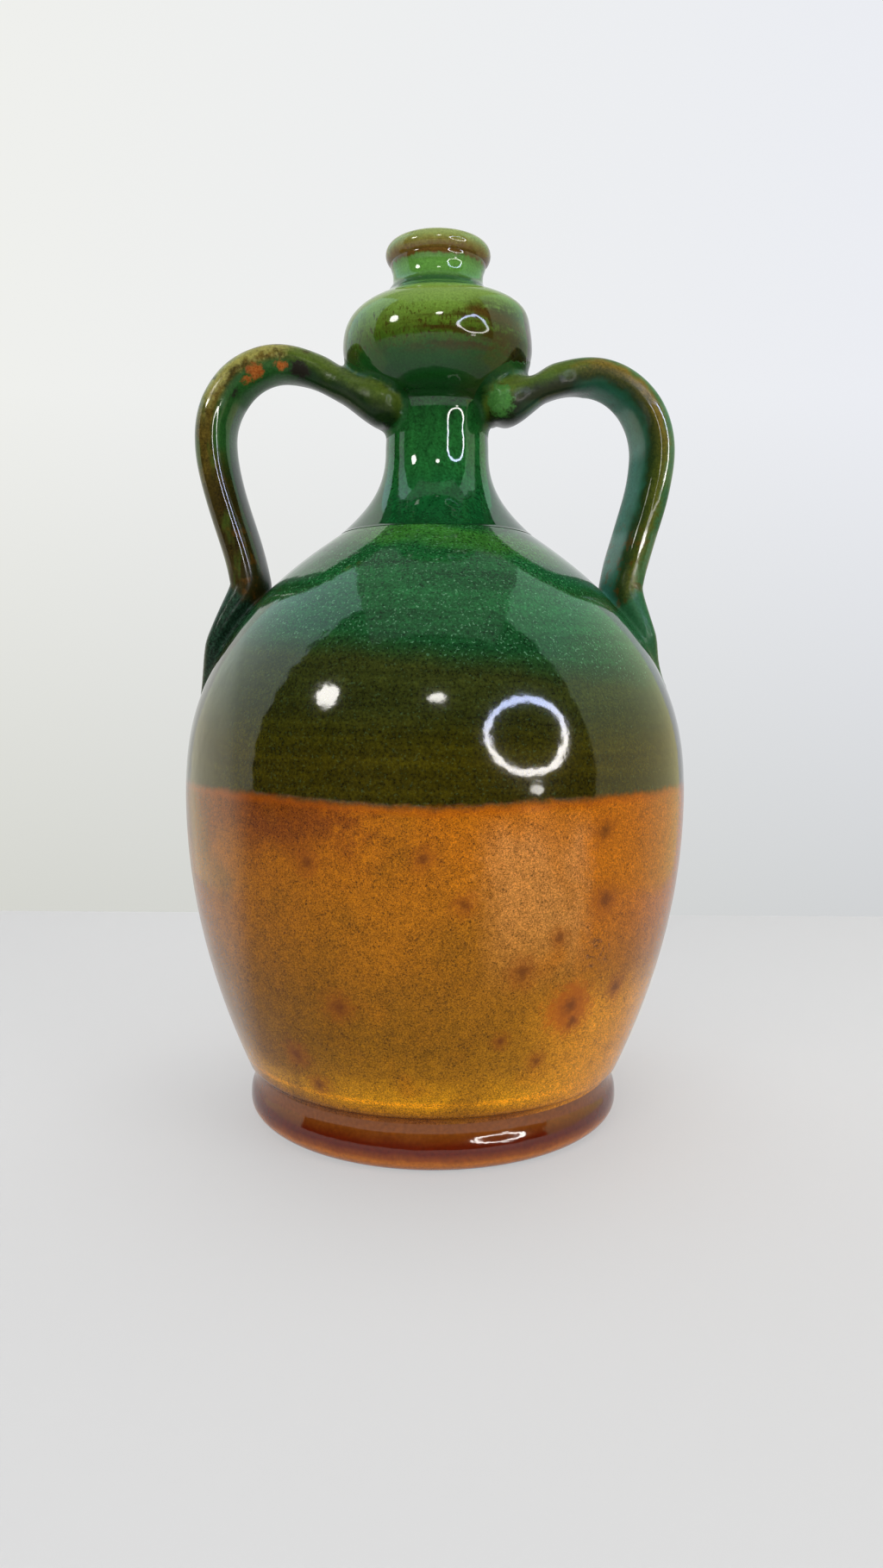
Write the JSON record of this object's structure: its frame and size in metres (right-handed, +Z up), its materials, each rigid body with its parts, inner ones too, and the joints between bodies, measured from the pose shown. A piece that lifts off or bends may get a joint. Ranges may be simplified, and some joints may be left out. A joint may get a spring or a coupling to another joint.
{
  "type": "pottery jug",
  "caption": "Glazed pottery bottle jug with a round belly on a foot ring, a waisted neck with a hollow knop, a narrow rolled mouth and a handle on each side, for storing and pouring drink.",
  "frame": {"origin": "centre of the foot ring's underside, on the jug's axis", "axes": "+Z up along the jug's axis, +X through the right handle, -Y towards the viewer"},
  "size_m": [0.1612, 0.1612, 0.2782],
  "materials": {
    "foot_glaze": "glossy red-brown glaze",
    "body_glaze": "glossy amber glaze below, dark olive and green above",
    "neck_glaze": "glossy deep green glaze",
    "mouth_glaze": "glossy green glaze breaking to brown",
    "handle_glaze": "glossy brown and green glaze"
  },
  "bodies": {
    "root": {"foot_ring": "foot_glaze", "body": "body_glaze", "neck": "neck_glaze", "knop": "mouth_glaze", "mouth": "mouth_glaze", "left_handle": "handle_glaze", "right_handle": "handle_glaze"}
  },
  "joints": []
}
